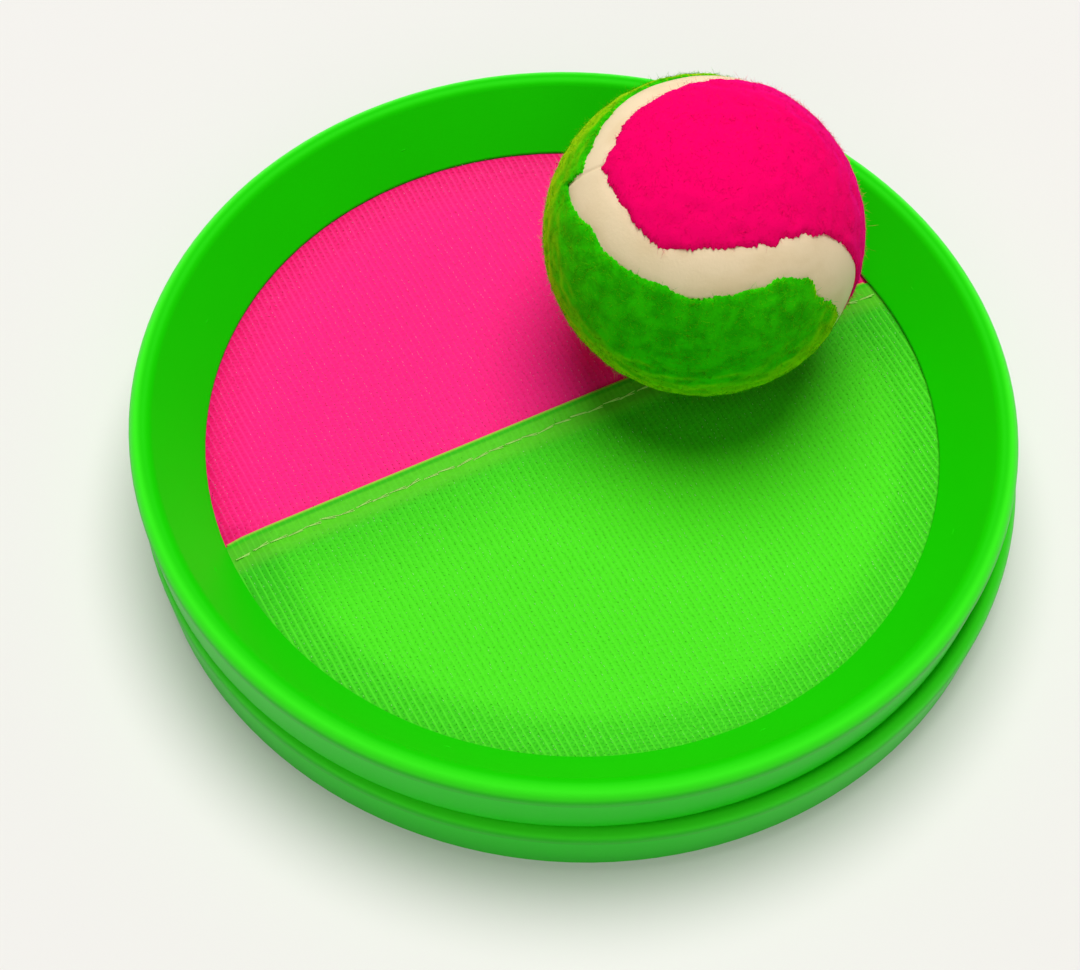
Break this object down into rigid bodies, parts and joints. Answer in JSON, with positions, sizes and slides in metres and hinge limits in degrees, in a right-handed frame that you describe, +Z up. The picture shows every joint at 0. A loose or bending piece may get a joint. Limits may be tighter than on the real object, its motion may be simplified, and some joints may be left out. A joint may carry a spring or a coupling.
{
  "type": "hook and loop catch paddle",
  "caption": "Round catch paddles with a plastic rim, hook-cloth face and sewn hand pocket, stood rim on rim, with a felt-covered seam ball on the upper face.",
  "frame": {"origin": "below the centre of the upper paddle, on the plane that the stack stands on", "axes": "+X along the pocket's hem, +Y from the pocket to the bare half of the cloth, +Z up out of the paddles"},
  "size_m": [0.1916, 0.1904, 0.0883],
  "materials": {
    "rim_plastic": "moulded, soft gloss",
    "pink_hook_cloth": "ribbed hook pile",
    "green_hook_cloth": "ribbed hook pile",
    "sewing_thread": "spun thread",
    "ball_rubber": "matt, hidden under the felt",
    "pink_felt": "brushed felt",
    "green_felt": "brushed felt",
    "cream_seam": "short felt"
  },
  "bodies": {
    "lower_paddle": {"lower_rim_ring": "rim_plastic", "lower_clamp_ring": "rim_plastic", "lower_catch_disc": "pink_hook_cloth", "lower_pocket_panel": "green_hook_cloth", "lower_hem_stitching": "sewing_thread", "lower_edge_stitching": "sewing_thread"},
    "upper_paddle": {"upper_rim_ring": "rim_plastic", "upper_clamp_ring": "rim_plastic", "upper_catch_disc": "pink_hook_cloth", "upper_pocket_panel": "green_hook_cloth", "upper_hem_stitching": "sewing_thread", "upper_edge_stitching": "sewing_thread"},
    "ball": {"ball_shell_half_a": "ball_rubber", "ball_shell_half_b": "ball_rubber", "ball_felt_pink": "pink_felt", "ball_felt_green": "green_felt", "ball_seam": "cream_seam"}
  },
  "joints": [
    {"name": "upper_lift", "type": "slide", "parent": "lower_paddle", "child": "upper_paddle", "axis": [0, 0, 1], "range_m": [0, 0.12]},
    {"name": "ball_pull", "type": "slide", "parent": "upper_paddle", "child": "ball", "axis": [0, 0, 1], "range_m": [0, 0.1]}
  ]
}
